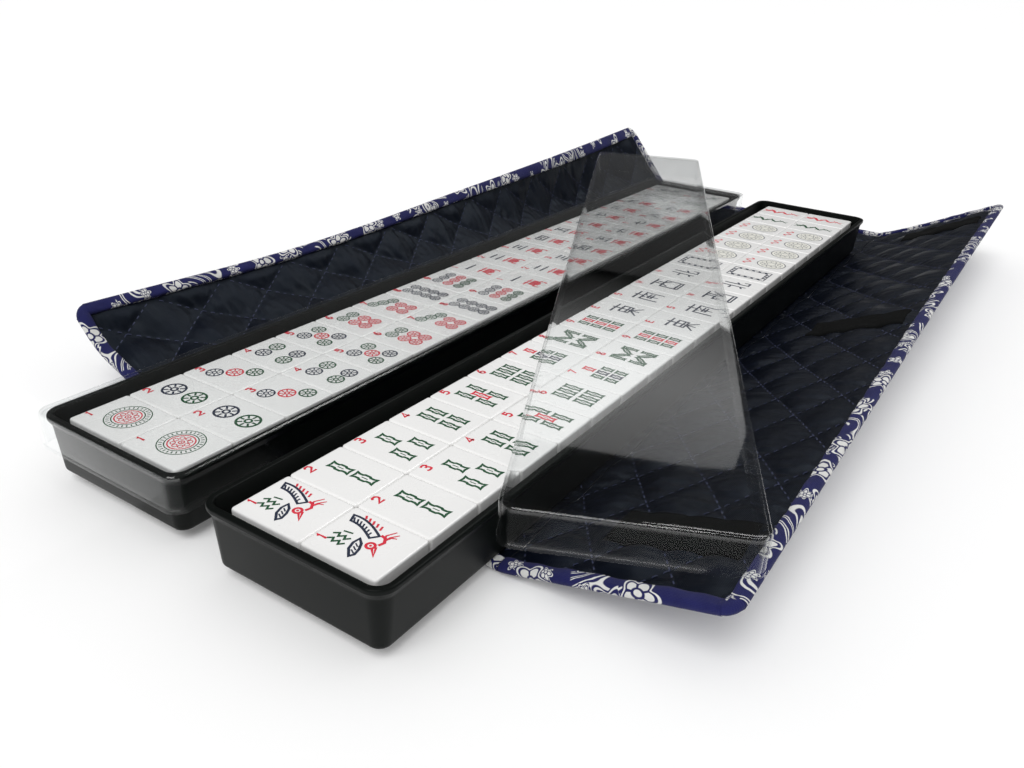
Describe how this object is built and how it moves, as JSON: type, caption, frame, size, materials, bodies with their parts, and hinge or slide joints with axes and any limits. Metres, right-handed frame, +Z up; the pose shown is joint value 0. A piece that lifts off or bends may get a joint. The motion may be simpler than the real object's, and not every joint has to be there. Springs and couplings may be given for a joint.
{
  "type": "mahjong case",
  "caption": "Quilted cloth wrap that folds round two long open trays of game tiles, each tray with a clear lift-off lid.",
  "frame": {"origin": "underside of the wrap's floor, midway between the two trays and midway along the wrap", "axes": "+X across the trays to the right, +Y along the trays to their far ends, +Z up"},
  "size_m": [0.3037, 0.5558, 0.0533],
  "materials": {
    "tile": "polished cream-white, engraved and painted on the face",
    "tray": "black, fine-grained",
    "clear_lid": "clear and glossy",
    "lining": "near-black navy satin, quilted in diamonds",
    "print": "navy cotton with a small pale floral print",
    "binding": "navy cotton with a small pale floral print, folded over the edge",
    "loop_tape": "navy looped pile",
    "hook_tape": "navy hooked tape"
  },
  "bodies": {
    "wrap": {"floor_lining": "lining", "floor_cover": "print", "floor_binding": "binding"},
    "left_flap": {"left_flap_lining": "lining", "left_flap_cover": "print", "left_flap_binding": "binding", "hook_tapes": "hook_tape"},
    "right_flap": {"right_flap_lining": "lining", "right_flap_cover": "print", "right_flap_binding": "binding", "loop_tapes": "loop_tape"},
    "left_tray": {"tray_left": "tray", "dots_1": "tile", "dots_2": "tile", "dots_3": "tile", "dots_4": "tile", "dots_5": "tile", "dots_6": "tile", "dots_7": "tile", "dots_8": "tile", "dots_9": "tile", "characters_1": "tile", "characters_2": "tile", "characters_3": "tile", "characters_4": "tile", "characters_5": "tile", "characters_6": "tile", "characters_7": "tile", "characters_8": "tile", "characters_9": "tile", "flowers_1": "tile", "flowers_2": "tile"},
    "left_lid": {"lid_left": "clear_lid"},
    "loose_lid": {"lid_loose": "clear_lid"},
    "right_tray": {"tray_right": "tray", "bamboo_3": "tile", "bamboo_4": "tile", "bamboo_5": "tile", "bamboo_6": "tile", "bamboo_7": "tile", "bamboo_8": "tile", "bamboo_9": "tile", "wind_east": "tile", "wind_south": "tile", "wind_west": "tile", "wind_north": "tile", "dragon_white": "tile", "joker_1": "tile", "joker_2": "tile"},
    "bamboo_1_row": {"bamboo_1": "tile"},
    "bamboo_2_row": {"bamboo_2": "tile"},
    "joker_3_row": {"joker_3": "tile"},
    "joker_4_row": {"joker_4": "tile"},
    "dragon_green_row": {"dragon_green": "tile"},
    "dragon_red_row": {"dragon_red": "tile"}
  },
  "joints": [
    {"name": "left_tray_draw", "type": "slide", "parent": "wrap", "child": "left_tray", "axis": [0, -1, 0], "range_m": [0, 0.52]},
    {"name": "right_tray_draw", "type": "slide", "parent": "wrap", "child": "right_tray", "axis": [0, -1, 0], "range_m": [0, 0.52]},
    {"name": "left_lid_lift", "type": "slide", "parent": "left_tray", "child": "left_lid", "axis": [0, 0, 1], "range_m": [0, 0.06]},
    {"name": "loose_lid_lift", "type": "slide", "parent": "left_lid", "child": "loose_lid", "axis": [0, 0, 1], "range_m": [0, 0.25]},
    {"name": "left_flap_fold", "type": "hinge", "parent": "wrap", "child": "left_flap", "pos_m": [-0.08686, 0, 0.0034], "axis": [0, 1, 0], "range_deg": [0, 45]},
    {"name": "right_flap_fold", "type": "hinge", "parent": "wrap", "child": "right_flap", "pos_m": [0.08086, 0, 0.0034], "axis": [0, -1, 0], "range_deg": [0, 52]},
    {"name": "bamboo_1_lift", "type": "slide", "parent": "right_tray", "child": "bamboo_1_row", "axis": [0, 0, 1], "range_m": [0, 0.04]},
    {"name": "bamboo_2_lift", "type": "slide", "parent": "right_tray", "child": "bamboo_2_row", "axis": [0, 0, 1], "range_m": [0, 0.04]},
    {"name": "joker_3_lift", "type": "slide", "parent": "right_tray", "child": "joker_3_row", "axis": [0, 0, 1], "range_m": [0, 0.04]},
    {"name": "joker_4_lift", "type": "slide", "parent": "right_tray", "child": "joker_4_row", "axis": [0, 0, 1], "range_m": [0, 0.04]},
    {"name": "dragon_green_lift", "type": "slide", "parent": "right_tray", "child": "dragon_green_row", "axis": [0, 0, 1], "range_m": [0, 0.04]},
    {"name": "dragon_red_lift", "type": "slide", "parent": "right_tray", "child": "dragon_red_row", "axis": [0, 0, 1], "range_m": [0, 0.04]}
  ],
  "couplings": [
    {"joint": "left_flap_fold", "follows": "loose_lid_lift", "rad_per_m": 3.1415},
    {"joint": "right_flap_fold", "follows": "loose_lid_lift", "rad_per_m": 3.63}
  ]
}
